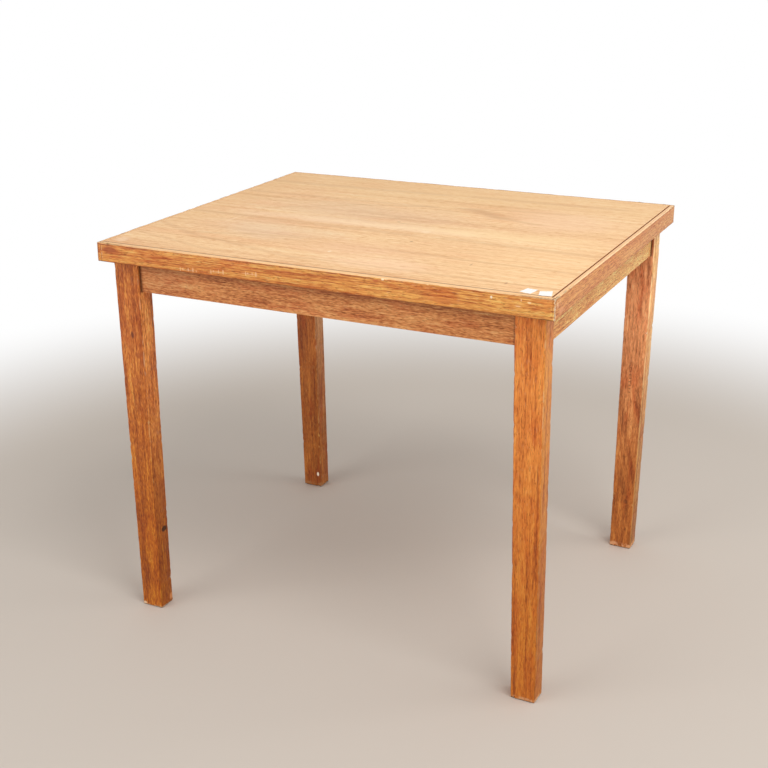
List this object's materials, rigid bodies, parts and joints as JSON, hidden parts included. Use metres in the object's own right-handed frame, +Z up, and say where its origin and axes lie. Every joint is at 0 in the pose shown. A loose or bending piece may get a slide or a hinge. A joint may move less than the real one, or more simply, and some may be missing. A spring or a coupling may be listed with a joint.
{
  "type": "small dining table",
  "caption": "Small rectangular dining table with a veneered top in a mitred wooden rim, slim aprons and tapered square legs.",
  "frame": {"origin": "on the floor, below the middle of the top", "axes": "+X along the long side to the right, +Y from front to back along the short side, +Z up"},
  "size_m": [0.85, 0.69, 0.73],
  "materials": {
    "top_face": "honey veneer, straight grain along the length, worn satin oil",
    "back_face": "plain unfinished veneer",
    "board": "raw board edge",
    "rim": "oiled solid wood with worn edges",
    "leg": "oiled solid wood, knots and chipped feet",
    "apron": "oiled solid wood, slightly dull",
    "joinery": "raw beech",
    "steel": "zinc plated, dulled"
  },
  "bodies": {
    "root": {"top_core": "board", "top_veneer": "top_face", "back_veneer": "back_face", "rim_front": "rim", "rim_right": "rim", "rim_back": "rim", "rim_left": "rim", "mitre_keys": "joinery", "leg_front_left": "leg", "leg_front_right": "leg", "leg_back_left": "leg", "leg_back_right": "leg", "apron_front": "apron", "apron_right": "apron", "apron_back": "apron", "apron_left": "apron", "block_front_left": "joinery", "block_front_right": "joinery", "block_back_left": "joinery", "block_back_right": "joinery", "apron_dowels": "joinery", "block_screws": "steel", "hanger_bolts": "steel", "bolt_washers": "steel", "bolt_nuts": "steel", "top_buttons": "joinery", "button_screws": "steel"}
  },
  "joints": []
}
